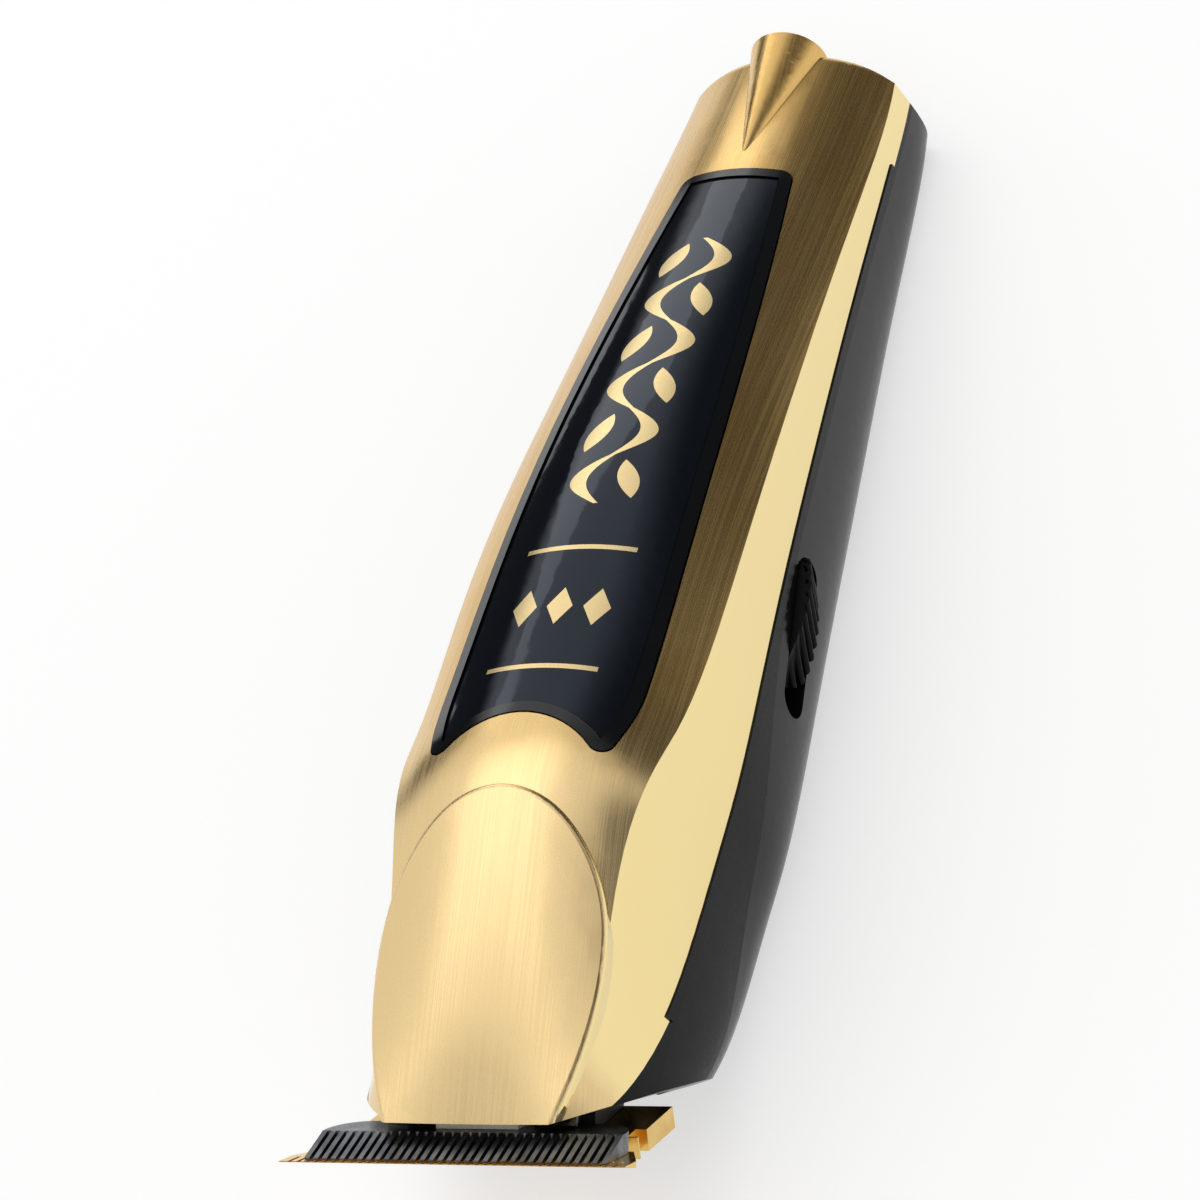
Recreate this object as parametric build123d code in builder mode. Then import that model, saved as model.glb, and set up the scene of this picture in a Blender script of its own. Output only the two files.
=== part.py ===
from build123d import *
from collections import namedtuple
import math
import os

os.makedirs("parts", exist_ok=True)

# Cordless T-blade hair trimmer, in millimetres, lying on its black underside.
# +X runs from the charging tail to the blade, +Y is the switch side, +Z comes out of the gold face.
# The origin is on the table under the middle of the bounding box.

# ---------------------------------------------------------------- driving dimensions
TAIL_X = -79.6
BLADE_TIP = (79.6, 0, 25.4)
BLADE_ANGLE = 59.7
WALL = 1.8
SKIRT_WALL = 2.4
INLAY_DEPTH = 1.3
INLAY_BORDER = 1.5
FIT = 0.15
TRIM_PROUD = 0.2
STROKE = 1.3
SWITCH_TRAVEL = 3.6
SWITCH_TILT = 7
MOTOR_Z = 20
SHAFT_RADIUS = 1.0
RUNNING_FIT = 0.05
WIDE = 30
TALL = 60

# Cross-sections from tail to nose: crown height, crease, widest point, underside height, flat half-width
Station = namedtuple("Station", "x crown crease_y crease_z side_y side_z floor_z floor_y")
STATIONS = [
    Station(TAIL_X, 16.3, 12.4, 11.3, 13.4, 6.8, 0.6, 10.5),
    Station(-62, 19.9, 13.5, 13.9, 14.4, 9.2, -0.05, 11.0),
    Station(-40, 24.9, 14.1, 18.4, 15.3, 12.2, 0.6, 11.5),
    Station(-15, 30.2, 15.1, 23.3, 16.6, 15.2, 1.2, 12.3),
    Station(10, 33.6, 15.7, 26.9, 17.6, 16.9, 1.1, 12.8),
    Station(30, 35.7, 15.0, 29.8, 17.7, 16.3, 0.4, 12.2),
    Station(44, 34.9, 13.3, 31.2, 16.7, 15.2, -0.1, 10.8),
    Station(53, 31.6, 12.5, 28.5, 16.3, 15.6, 1.6, 9.8),
    Station(61, 28.7, 12.3, 26.4, 16.2, 16.0, 5.6, 9.4),
    Station(69, 26.0, 11.1, 24.6, 16.3, 17.0, 11.2, 9.2),
    Station(77, 23.3, 8.4, 23.0, 16.5, 18.2, 14.6, 9.2),
]
# How far the underside keeps to the sides and to the flat before it turns
BELLY_DROP, BELLY_REACH = 0.9, 0.95


# ---------------------------------------------------------------- shared geometry
def body_loft(inset):
    """The whole outer shape of the grip, drawn in by a wall thickness."""
    with BuildPart() as loft_part:
        for s in STATIONS:
            with BuildSketch(Plane.YZ.offset(s.x)):
                crease = (s.crease_y - 0.8 * inset, s.crease_z - 0.5 * inset)
                side = (s.side_y - inset, s.side_z)
                flat = (s.floor_y - 0.5 * inset, s.floor_z + inset)
                drop = BELLY_DROP * (side[1] - flat[1])
                lean = drop * (s.crease_y - s.side_y) / (s.crease_z - s.side_z)
                belly = [side, (side[0] - lean, side[1] - drop),
                         (flat[0] + BELLY_REACH * (side[0] - flat[0]), flat[1]), flat]
                with BuildLine():
                    ThreePointArc((-crease[0], crease[1]), (0, s.crown - inset), crease)
                    Line(crease, side)
                    Bezier(*belly)
                    Line(flat, (-flat[0], flat[1]))
                    Bezier(*[(-y, z) for y, z in belly[::-1]])
                    Line((-side[0], side[1]), (-crease[0], crease[1]))
                make_face()
        loft()
    return loft_part.part


def side_block(*edges):
    """A prism across the whole width whose outline is drawn in the XZ plane."""
    with BuildPart() as block:
        with BuildSketch(Plane.XZ):
            with BuildLine():
                for edge in edges:
                    if len(edge) > 2:
                        Spline(*edge)
                    else:
                        Line(*edge)
            make_face()
        extrude(amount=WIDE, both=True)
    return block.part


def above(*edges):
    """Everything over a parting line that runs from tail to nose."""
    start, end = edges[0][0], edges[-1][-1]
    return side_block(*edges, (end, (end[0], TALL)), ((end[0], TALL), (start[0], TALL)),
                      ((start[0], TALL), start))


def pad_block(drop):
    """Everything over the crowned, slanted pad at the blade end, which flattens towards the blade."""
    with BuildPart() as block:
        for x, height, radius in ((30, 39.2, 30), (57, 31.3, 32), (78, 23.4, 300)):
            with BuildSketch(Plane.YZ.offset(x)):
                sag = radius - math.sqrt(radius ** 2 - 18 ** 2)
                with BuildLine():
                    ThreePointArc((-18, height - drop - sag), (0, height - drop), (18, height - drop - sag))
                    Polyline((18, height - drop - sag), (18, TALL), (-18, TALL), (-18, height - drop - sag))
                make_face()
        loft()
    return block.part


def save(builder, name):
    builder.part.label = name
    export_step(builder.part, f"parts/{name}.step")


TAIL_CORNER = (-77.8, 12.4)
TAIL_ROUND = 2.0

# plan outline whose tail end is gently curved
with BuildPart() as tail_plan:
    with BuildSketch(Plane.XY.offset(-5)):
        with BuildLine():
            end_arc = ThreePointArc((TAIL_CORNER[0], TAIL_CORNER[1]), (TAIL_X, 0), (TAIL_CORNER[0], -TAIL_CORNER[1]))
            Polyline(end_arc @ 1, (TAIL_CORNER[0] + 1, -WIDE), (90, -WIDE), (90, WIDE), (TAIL_CORNER[0] + 1, WIDE),
                     end_arc @ 0)
        make_face()
    extrude(amount=TALL)

with BuildPart() as outer_body:
    add(body_loft(0))
    fillet(outer_body.faces().sort_by(Axis.X)[0].edges(), TAIL_ROUND)
    add(tail_plan.part, mode=Mode.INTERSECT)

outer = outer_body.part
trim_skin = body_loft(-TRIM_PROUD)
cavity = body_loft(WALL)
skirt_cavity = body_loft(SKIRT_WALL)
pad_cut = pad_block(0)

# the pad itself: a round-headed plate that stands a little proud of the crown
PAD_ROUND, PAD_THICK = 0.7, 2.2
with BuildPart() as pad:
    with BuildSketch(Plane.XY.offset(10)):
        with BuildLine():
            half = [(40.2, 0), (41.8, 5.6), (45.7, 9.6), (51, 12.1), (57.5, 12.9), (64, 12.4), (70.5, 10.9),
                    (78, 7.9)]
            Spline(*half[::-1], *[(x, -y) for x, y in half[1:]])
            Line((78, -7.9), (78, 7.9))
        make_face()
    extrude(amount=40)
    add(pad_cut, mode=Mode.SUBTRACT)
    fillet(pad.edges().filter_by(lambda e: e.length > 60).sort_by(Axis.Z)[-1], PAD_ROUND)
    add(pad_block(PAD_THICK), mode=Mode.INTERSECT)

# Parting lines: the raised black strip, the gold edge that it laps over, and the seam below them
STRIP_START, STRIP_END, STRIP_HEIGHT = -66, 57, 1.15
strip_line = [(STRIP_START, 10.1), (-50, 12.1), (-20, 15.9), (10, 18.0), (30, 17.5), (45, 16.6),
              (STRIP_END, 17.6)]
strip_foot = [(x, z - STRIP_HEIGHT) for x, z in strip_line]
strip_zone = side_block(
    strip_line, (strip_line[-1], strip_foot[-1]), strip_foot[::-1], (strip_foot[0], strip_line[0]))
gold_edge = above(
    ((-90, 6.3), (STRIP_START, 9.3), (-50, 11.3), (-20, 15.1), (10, 17.2), (30, 16.7), (45, 15.8),
     (STRIP_END, 16.8), (69, 20.4), (85, 26.5)))
seam = above(
    ((-90, 5.6), (-50, 10.9), (-20, 14.7), (-4, 16.2), (8, 16.0), (22, 13.6), (34, 10.3), (45, 7.5), (53, 6.9),
     (60, 8.9), (70, 13.5), (85, 20)))

# The open nose: a plane behind the blade, and its swept-back sides
blade_x = Vector(1, 0, 0).rotate(Axis.Y, -BLADE_ANGLE)
blade_z = Vector(0, 0, 1).rotate(Axis.Y, -BLADE_ANGLE)
blade_plane = Plane(BLADE_TIP, x_dir=blade_x, z_dir=blade_z)
blade_side = Plane(BLADE_TIP, x_dir=blade_x, z_dir=(0, -1, 0))
NOSE_EDGE = Vector(74.4, 9.2, 24.7)
NOSE_CORNER = Vector(69.1, 15.6, 20.9)
NOSE_FOOT = Vector(62.7, 12, 10.6)


def nose_cut():
    """Everything in front of the open nose."""
    drop = NOSE_EDGE - NOSE_FOOT
    front = Plane((NOSE_EDGE.X, 0, NOSE_EDGE.Z), x_dir=(0, 1, 0), z_dir=(drop.Z, 0, -drop.X))
    corner = Plane(NOSE_EDGE, z_dir=(NOSE_FOOT - NOSE_EDGE).cross(NOSE_CORNER - NOSE_EDGE))
    with BuildPart() as cut:
        for plane in (front, corner):
            with BuildSketch(plane):
                Rectangle(140, 140)
            extrude(amount=60)
        mirror(about=Plane.XZ)
    return cut.part


def grip_piece(skin, hollow, keep, remove):
    """One moulding of the grip: its skin, less its hollow, kept inside some prisms and cut by others."""
    with BuildPart() as piece:
        add(skin)
        for solid in keep:
            add(solid, mode=Mode.INTERSECT)
        for solid in [hollow, *remove]:
            add(solid, mode=Mode.SUBTRACT)
    return piece.part


nose = nose_cut()


# ---------------------------------------------------------------- switch place on the side wall
switch_dir = Vector(1, 0, 0).rotate(Axis.Y, SWITCH_TILT)
switch_plane = Plane((4.9, 17.7, 12.3), x_dir=switch_dir, z_dir=(0, 1, 0))
SLOT_LENGTH = 19.6
SLOT_WIDTH = 4.6
THUMB_LENGTH = 15.6
THUMB_WIDTH = 4.2
THUMB_SHIFT = -1.85

with BuildPart() as switch_slot:
    with BuildSketch(switch_plane.offset(-6)):
        SlotOverall(SLOT_LENGTH, SLOT_WIDTH)
    extrude(amount=12)


# ---------------------------------------------------------------- gold upper housing
INLAY_TAIL, INLAY_HEAD, INLAY_LOBE = -57, 31.2, 37.2
ARCH_RADIUS = 13
SCREW_PLACES = ((-10.5, 9.0), (-10.5, -9.0), (47, 8.6), (47, -8.6))


def inlay_outline(margin):
    """The inlay seen from above: round-cornered at the tail, arched over the pad at the blade end."""
    with BuildSketch(Plane.XY) as outline:
        with BuildLine():
            flank = ThreePointArc((INLAY_TAIL, 6.9), (-14, 10.6), (26, 11.7))
            TangentArc(flank @ 1, (INLAY_LOBE, 9.6), tangent=flank % 1)
            Line((INLAY_TAIL, 0), (INLAY_TAIL, 6.9))
            ThreePointArc((INLAY_LOBE, 9.6), (INLAY_HEAD, 0), (INLAY_LOBE, -9.6))
            flank = ThreePointArc((INLAY_TAIL, -6.9), (-14, -10.6), (26, -11.7))
            TangentArc(flank @ 1, (INLAY_LOBE, -9.6), tangent=flank % 1)
            Line((INLAY_TAIL, -6.9), (INLAY_TAIL, 0))
        make_face()
        fillet(outline.vertices().group_by(Axis.X)[0], 1.8)
        fillet(outline.vertices().group_by(Axis.X)[-1], 1.4)
        if margin:
            offset(amount=-margin, kind=Kind.INTERSECTION)
    return outline.sketch


def inlay_prism(margin):
    with BuildPart() as prism:
        with BuildSketch(Plane.XY.offset(10)):
            add(inlay_outline(margin))
        extrude(amount=TALL)
    return prism.part


inlay_floor = body_loft(INLAY_DEPTH)
inlay_web = body_loft(INLAY_DEPTH + 1.2)

# what the pocket takes out of the shell
with BuildPart() as inlay_pocket:
    add(inlay_prism(0))
    add(inlay_floor, mode=Mode.SUBTRACT)

# web under the inlay, so that the pocket has a floor
with BuildPart() as web:
    add(inlay_prism(-1.5))
    add(inlay_floor, mode=Mode.INTERSECT)
    add(inlay_web, mode=Mode.SUBTRACT)

# the pad where it stands on the housing, cut back with the nose
with BuildPart() as pad_plate:
    add(pad.part)
    add(nose, mode=Mode.SUBTRACT)

# end wall at the tail
with BuildPart() as tail_slice:
    with BuildSketch(Plane.YZ.offset(TAIL_X)):
        Rectangle(2 * WIDE, 2 * TALL)
    extrude(amount=3.6)

# half-cone that rises over the charging socket
with BuildPart() as boss:
    for x, z, radius in ((TAIL_X, 15.0, 4.7), (-60.5, 19.9, 0.4)):
        with BuildSketch(Plane.YZ.offset(x)):
            with Locations((0, z)):
                Circle(radius)
    loft(ruled=True)

JACK_Z = 14.4
JACK_RADIUS = 1.8
BOARD_Z, BOARD_THICK = 20.6, 1.2
BOARD_POSTS = ((-22, 27), (8, 31.5))
SOCKET_RADIUS = 3.4
SOCKET_LENGTH = 10.5

with BuildPart() as upper_housing:
    add(grip_piece(outer, cavity, [gold_edge], [strip_zone, nose]))
    add(grip_piece(outer, strip_zone, [gold_edge, tail_slice.part], []))
    add(boss.part)
    add(pad_plate.part)
    add(web.part)
    add(inlay_pocket.part, mode=Mode.SUBTRACT)
    # posts that carry the circuit board
    for x, top in BOARD_POSTS:
        with BuildSketch(Plane.XY.offset(BOARD_Z + BOARD_THICK + 0.02)):
            with Locations((x, 0)):
                Circle(2.2)
                Circle(0.6, mode=Mode.SUBTRACT)
        extrude(amount=top - BOARD_Z - BOARD_THICK)
    # room for the socket barrel behind the end wall
    with BuildSketch(Plane.YZ.offset(TAIL_X + 1.2)):
        with Locations((0, JACK_Z)):
            Circle(SOCKET_RADIUS + FIT)
    extrude(amount=SOCKET_LENGTH + 8, mode=Mode.SUBTRACT)
    with BuildSketch(Plane.YZ.offset(TAIL_X - 1)):
        with Locations((0, JACK_Z)):
            Circle(JACK_RADIUS + FIT)
    extrude(amount=4, mode=Mode.SUBTRACT)
save(upper_housing, "upper_housing")


# ---------------------------------------------------------------- black inlay
inlay_face = body_loft(-0.1)
panel_face = body_loft(0.15)

with BuildPart() as inlay_frame:
    add(inlay_prism(FIT))
    add(inlay_face, mode=Mode.INTERSECT)
    add(inlay_floor, mode=Mode.SUBTRACT)
    add(inlay_prism(INLAY_BORDER), mode=Mode.SUBTRACT)
save(inlay_frame, "inlay_frame")

with BuildPart() as inlay_panel:
    add(inlay_prism(INLAY_BORDER + FIT))
    add(panel_face, mode=Mode.INTERSECT)
    add(inlay_floor, mode=Mode.SUBTRACT)
save(inlay_panel, "inlay_panel")


# ---------------------------------------------------------------- black mid frame and bottom cover
with BuildPart() as raised_strip:
    add(trim_skin)
    add(strip_zone, mode=Mode.INTERSECT)
    add(seam, mode=Mode.INTERSECT)
    add(skirt_cavity, mode=Mode.SUBTRACT)
    add(nose, mode=Mode.SUBTRACT)

with BuildPart() as mid_frame:
    add(grip_piece(outer, skirt_cavity, [seam], [gold_edge, nose]))
    add(grip_piece(outer, gold_edge, [seam, tail_slice.part], []))
    add(raised_strip.part)
    add(switch_slot.part, mode=Mode.SUBTRACT)
save(mid_frame, "mid_frame")

CONTACT_X, CONTACT_Y = -66, 4.0
CONTACT_RADIUS = 1.6

with BuildPart() as bottom_cover:
    add(grip_piece(outer, skirt_cavity, [], [seam, nose]))
    add(grip_piece(outer, seam, [tail_slice.part], []))
    # flats that it lies on, at the tail and under the belly
    with BuildSketch(Plane.XY):
        Rectangle(200, 2 * WIDE)
    extrude(amount=-5, mode=Mode.SUBTRACT)
    # bosses for the housing screws
    for x, y in SCREW_PLACES:
        with BuildSketch(Plane.XY.offset(2)):
            with Locations((x, y)):
                Circle(2.9)
        extrude(amount=4)
    for x, y in SCREW_PLACES:
        with BuildSketch(Plane.XY.offset(-1)):
            with Locations((x, y)):
                Circle(2.3)
        extrude(amount=4, mode=Mode.SUBTRACT)
        with BuildSketch(Plane.XY.offset(-1)):
            with Locations((x, y)):
                Circle(1.3)
        extrude(amount=9, mode=Mode.SUBTRACT)
    add(switch_slot.part, mode=Mode.SUBTRACT)
    with BuildSketch(Plane.XY.offset(-1)):
        with Locations((CONTACT_X, CONTACT_Y), (CONTACT_X, -CONTACT_Y)):
            Circle(CONTACT_RADIUS + FIT)
    extrude(amount=6, mode=Mode.SUBTRACT)
save(bottom_cover, "bottom_cover")

with BuildPart() as housing_screws:
    for x, y in SCREW_PLACES:
        with BuildSketch(Plane.XY.offset(1.5)):
            with Locations((x, y)):
                Circle(2.1)
        extrude(amount=1.4)
        with BuildSketch(Plane.XY.offset(2.8)):
            with Locations((x, y)):
                Circle(1.2)
        extrude(amount=6)
        with BuildSketch(Plane.XY.offset(1.5)):
            with Locations((x, y)):
                Rectangle(2.6, 0.6)
                Rectangle(0.6, 2.6)
        extrude(amount=0.7, mode=Mode.SUBTRACT)
save(housing_screws, "housing_screws")


# ---------------------------------------------------------------- blade
ARM_HALF, ARM_DEPTH, ARM_THICK = 19.2, 7.5, 1.65
TIP_THICK = 0.12
HEEL_START, HEEL_END, HEEL_HALF = -11.3, -21, 16
HEEL_THICK, HEEL_TILT = 2.3, 20
TOOTH_PITCH = 1.0
HEEL_SCREW_Y, HEEL_SCREW_RADIUS, HEEL_SCREW_LENGTH = 8.8, 1.25, 6.2
COMB_SLOPE = (ARM_THICK - TIP_THICK) / ARM_DEPTH

heel_plane = Plane(blade_side * Pos(HEEL_START, 0.9) * Rot(0, 0, -HEEL_TILT))
heel_face = Plane(heel_plane.origin, x_dir=heel_plane.x_dir, z_dir=heel_plane.y_dir)

with BuildPart() as fixed_blade:
    with BuildSketch(blade_side):
        Polygon((0, 0), (0, TIP_THICK), (-ARM_DEPTH, ARM_THICK), (-ARM_DEPTH, 0), align=None)
    extrude(amount=ARM_HALF, both=True)
    # swept ends of the T
    with BuildSketch(blade_plane.offset(-1)):
        Polygon((1, ARM_HALF), (-2.8, ARM_HALF), (-9, ARM_HALF - 3), (-9, -ARM_HALF + 3), (-2.8, -ARM_HALF),
                (1, -ARM_HALF), align=None)
    extrude(amount=6, mode=Mode.INTERSECT)
    with BuildSketch(blade_side):
        Polygon((-ARM_DEPTH + 0.5, 0.1), (-ARM_DEPTH + 0.5, 1.3), (HEEL_START - 1, 2.2), (HEEL_START - 1, 1.0),
                align=None)
    extrude(amount=13.5, both=True)
    with BuildSketch(heel_plane):
        Rectangle(HEEL_START - HEEL_END, HEEL_THICK, align=(Align.MAX, Align.MIN))
    extrude(amount=HEEL_HALF, both=True)
    # nicks that locate the plate sideways
    with BuildSketch(heel_face):
        with Locations((-1.4, HEEL_HALF), (-1.4, -HEEL_HALF)):
            Rectangle(2.2, 2.4)
    extrude(amount=HEEL_THICK, mode=Mode.SUBTRACT)
    with BuildSketch(heel_face.offset(-1)):
        with Locations((-5.4, HEEL_SCREW_Y), (-5.4, -HEEL_SCREW_Y)):
            Circle(HEEL_SCREW_RADIUS + FIT)
    extrude(amount=5, mode=Mode.SUBTRACT)
    # comb teeth
    with BuildSketch(blade_plane.offset(-1)):
        with Locations((-1.0, 0)):
            with GridLocations(1, TOOTH_PITCH, 1, 37):
                SlotOverall(2.8, 0.42)
    extrude(amount=4, mode=Mode.SUBTRACT)
save(fixed_blade, "fixed_blade")

CUTTER_HALF = 16.8
CUTTER_TIP, CUTTER_BEVEL, CUTTER_REAR = -0.9, -5.0, -9.6
CUTTER_RISE, CUTTER_TOP = 3.3, 4.4
CUTTER_LIFT = 0.03
RIVET_X, RIVET_Y, RIVET_RADIUS = -8.1, 3, 0.8


def comb_top(x):
    """Height of the face that the cutter slides on."""
    return TIP_THICK - COMB_SLOPE * x + CUTTER_LIFT


with BuildPart() as cutter_blade:
    with BuildSketch(blade_side):
        Polygon((CUTTER_TIP, comb_top(CUTTER_TIP)), (CUTTER_TIP, comb_top(CUTTER_TIP) + 0.15),
                (CUTTER_BEVEL, CUTTER_RISE), (CUTTER_REAR, CUTTER_TOP), (CUTTER_REAR, comb_top(CUTTER_REAR)),
                align=None)
    extrude(amount=CUTTER_HALF, both=True)
    # rounded rear corners
    with BuildSketch(blade_plane.offset(-1)) as plan:
        with Locations((CUTTER_REAR, 0)):
            Rectangle(-CUTTER_REAR, 2 * CUTTER_HALF, align=(Align.MIN, Align.CENTER))
        fillet(plan.vertices().group_by(Axis.X)[0], 4.0)
    extrude(amount=8, mode=Mode.INTERSECT)
    with BuildSketch(blade_plane.offset(-1)):
        with Locations((-2.4, 0)):
            with GridLocations(1, TOOTH_PITCH, 1, 33):
                SlotOverall(5.4, 0.46)
    extrude(amount=8, mode=Mode.SUBTRACT)
    with BuildSketch(blade_plane):
        with Locations((RIVET_X, RIVET_Y), (RIVET_X, -RIVET_Y)):
            Circle(RIVET_RADIUS)
    extrude(amount=8, mode=Mode.SUBTRACT)
save(cutter_blade, "cutter_blade")


# ---------------------------------------------------------------- drive yoke on the cutter
PIN_X, PIN_RADIUS = 53.6, 1.0
YOKE_X, YOKE_THICK = 54.0, 3.6
YOKE_SLOT = (2 * (2 * STROKE + PIN_RADIUS + 0.3), 2 * (STROKE + PIN_RADIUS + 0.4))

with BuildPart() as drive_yoke:
    # foot on the cutter
    with BuildSketch(blade_side):
        Polygon((-6.4, 3.68), (-6.4, 5.0), (CUTTER_REAR, 6.0), (CUTTER_REAR, CUTTER_TOP + 0.05), align=None)
    extrude(amount=4.6, both=True)
    # arm back to the motor
    with BuildSketch(Plane.XZ):
        Polygon((YOKE_X + 1, 19.5), (70.6, 19.6), (71.6, 21.4), (70, 22.2), (YOKE_X + 1, 22.2), align=None)
    extrude(amount=4.6, both=True)
    # fork
    with BuildSketch(Plane.YZ.offset(YOKE_X)):
        with Locations((0, MOTOR_Z)):
            RectangleRounded(12.4, 9.4, 1.5)
    extrude(amount=YOKE_THICK)
    with BuildSketch(Plane.YZ.offset(YOKE_X - 1)):
        with Locations((0, MOTOR_Z)):
            Rectangle(*YOKE_SLOT)
    extrude(amount=YOKE_THICK + 2.2, mode=Mode.SUBTRACT)
    with BuildSketch(blade_plane):
        with Locations((RIVET_X, RIVET_Y), (RIVET_X, -RIVET_Y)):
            Circle(RIVET_RADIUS)
    extrude(amount=8, mode=Mode.SUBTRACT)
save(drive_yoke, "drive_yoke")

with BuildPart() as cutter_rivets:
    with BuildSketch(blade_plane.offset(2.2)):
        with Locations((RIVET_X, RIVET_Y), (RIVET_X, -RIVET_Y)):
            Circle(RIVET_RADIUS)
    extrude(amount=3.2)
save(cutter_rivets, "cutter_rivets")


# ---------------------------------------------------------------- nose insert, blade screws, tension spring
INSERT_HALF = 10.7
SPRING_Y, SPRING_WIDTH, SPRING_GAUGE = 8.8, 3.6, 0.5
SPRING_SCREW_X = 62.5

with BuildPart() as nose_insert:
    with BuildSketch(heel_plane):
        Polygon((-9.2, 2.35), (-1.6, 2.35), (-2.5, 5.1), (-8.4, 9.9), (-12.4, 7.2), (-11.2, 4.0), align=None)
    extrude(amount=INSERT_HALF, both=True)
    with BuildSketch(heel_face):
        with Locations((-5.4, HEEL_SCREW_Y), (-5.4, -HEEL_SCREW_Y)):
            Circle(HEEL_SCREW_RADIUS)
    extrude(amount=8, mode=Mode.SUBTRACT)
    with BuildSketch(Plane.XY.offset(14)):
        with Locations((SPRING_SCREW_X, SPRING_Y), (SPRING_SCREW_X, -SPRING_Y)):
            Circle(0.8)
    extrude(amount=5, mode=Mode.SUBTRACT)
save(nose_insert, "nose_insert")

with BuildPart() as blade_screws:
    for side in (1, -1):
        with BuildSketch(heel_face.offset(-1.1)):
            with Locations((-5.4, side * HEEL_SCREW_Y)):
                Circle(2.3)
        extrude(amount=1.1)
        with BuildSketch(heel_face):
            with Locations((-5.4, side * HEEL_SCREW_Y)):
                Circle(HEEL_SCREW_RADIUS)
        extrude(amount=HEEL_SCREW_LENGTH)
        with BuildSketch(heel_face.offset(-1.2)):
            with Locations((-5.4, side * HEEL_SCREW_Y)):
                Rectangle(2.8, 0.6)
                Rectangle(0.6, 2.8)
        extrude(amount=0.8, mode=Mode.SUBTRACT)
save(blade_screws, "blade_screws")

with BuildPart() as tension_spring:
    with BuildSketch(Plane.XZ):
        with BuildLine():
            Polyline((60.4, 18.8), (67.4, 18.8), (70.4, 21.6), (72.3, 21.05))
        trace(line_width=SPRING_GAUGE)
    extrude(amount=SPRING_Y + SPRING_WIDTH / 2, both=True)
    # only a bar at the back joins the two fingers
    with BuildSketch(Plane.XY.offset(15)):
        with Locations((63.4, 0)):
            Rectangle(20, 2 * SPRING_Y - SPRING_WIDTH, align=(Align.MIN, Align.CENTER))
    extrude(amount=10, mode=Mode.SUBTRACT)
    with BuildSketch(Plane.XY.offset(15)):
        with Locations((SPRING_SCREW_X, SPRING_Y), (SPRING_SCREW_X, -SPRING_Y)):
            Circle(0.9)
    extrude(amount=10, mode=Mode.SUBTRACT)
save(tension_spring, "tension_spring")

with BuildPart() as spring_screws:
    for side in (1, -1):
        with BuildSketch(Plane.XY.offset(14.4)):
            with Locations((SPRING_SCREW_X, side * SPRING_Y)):
                Circle(0.8)
        extrude(amount=5)
        with BuildSketch(Plane.XY.offset(19.08)):
            with Locations((SPRING_SCREW_X, side * SPRING_Y)):
                Circle(1.6)
        extrude(amount=0.9)
save(spring_screws, "spring_screws")


# ---------------------------------------------------------------- motor
CAN_START, CAN_END, CAN_RADIUS, CAN_WALL = 16.5, 42, 10.2, 1.0
BUSH_RADIUS = 2.6


def ring(x, length, outer_radius, inner_radius=0):
    """A round piece on the motor's axis."""
    with BuildPart() as piece:
        with BuildSketch(Plane.YZ.offset(x)):
            with Locations((0, MOTOR_Z)):
                Circle(outer_radius)
                if inner_radius:
                    Circle(inner_radius, mode=Mode.SUBTRACT)
        extrude(amount=length)
    return piece.part


with BuildPart() as motor_can:
    add(ring(CAN_START, CAN_END - CAN_START, CAN_RADIUS, CAN_RADIUS - CAN_WALL))
    add(ring(CAN_END - CAN_WALL, CAN_WALL, CAN_RADIUS - 0.5, BUSH_RADIUS))
    add(ring(CAN_END - CAN_WALL, 2.4, 3.6, BUSH_RADIUS))
    with BuildSketch(Plane.YZ.offset(CAN_END - 3)):
        with Locations((7, MOTOR_Z), (-7, MOTOR_Z)):
            Circle(0.8)
    extrude(amount=4, mode=Mode.SUBTRACT)
save(motor_can, "motor_can")

with BuildPart() as motor_end_cap:
    add(ring(CAN_START - 2.6, 2.6, CAN_RADIUS - 0.2, BUSH_RADIUS))
    with BuildSketch(Plane.YZ.offset(CAN_START - 4)):
        with Locations((0, MOTOR_Z - 6.5)):
            with GridLocations(7, 1, 2, 1):
                Rectangle(2.4, 0.8)
    extrude(amount=6, mode=Mode.SUBTRACT)
save(motor_end_cap, "motor_end_cap")

with BuildPart() as motor_terminals:
    with BuildSketch(Plane.YZ.offset(CAN_START - 5.2)):
        with Locations((0, MOTOR_Z - 6.5)):
            with GridLocations(7, 1, 2, 1):
                Rectangle(2.4, 0.5)
    extrude(amount=5.6)
save(motor_terminals, "motor_terminals")

with BuildPart() as motor_bushings:
    add(ring(CAN_START - 2.6, 2.6, BUSH_RADIUS, SHAFT_RADIUS + RUNNING_FIT))
    add(ring(CAN_END - CAN_WALL, 2.4, BUSH_RADIUS, SHAFT_RADIUS + RUNNING_FIT))
save(motor_bushings, "motor_bushings")

with BuildPart() as motor_magnets:
    add(ring(CAN_START + 3, 19, CAN_RADIUS - CAN_WALL, 7.6))
    with BuildSketch(Plane.YZ.offset(CAN_START)):
        with Locations((0, MOTOR_Z)):
            Rectangle(30, 5)
    extrude(amount=40, mode=Mode.SUBTRACT)
save(motor_magnets, "motor_magnets")

with BuildPart() as motor_armature:
    add(ring(CAN_START + 5, 15, 7.0, SHAFT_RADIUS))
    with BuildSketch(Plane.YZ.offset(CAN_START + 4)):
        with Locations((0, MOTOR_Z)):
            with PolarLocations(5.6, 3):
                SlotOverall(2.6, 0.9)
    extrude(amount=20, mode=Mode.SUBTRACT)
save(motor_armature, "motor_armature")

with BuildPart() as motor_shaft:
    add(ring(CAN_START - 3.2, 52.4 - CAN_START + 3.2, SHAFT_RADIUS))
save(motor_shaft, "motor_shaft")

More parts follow.
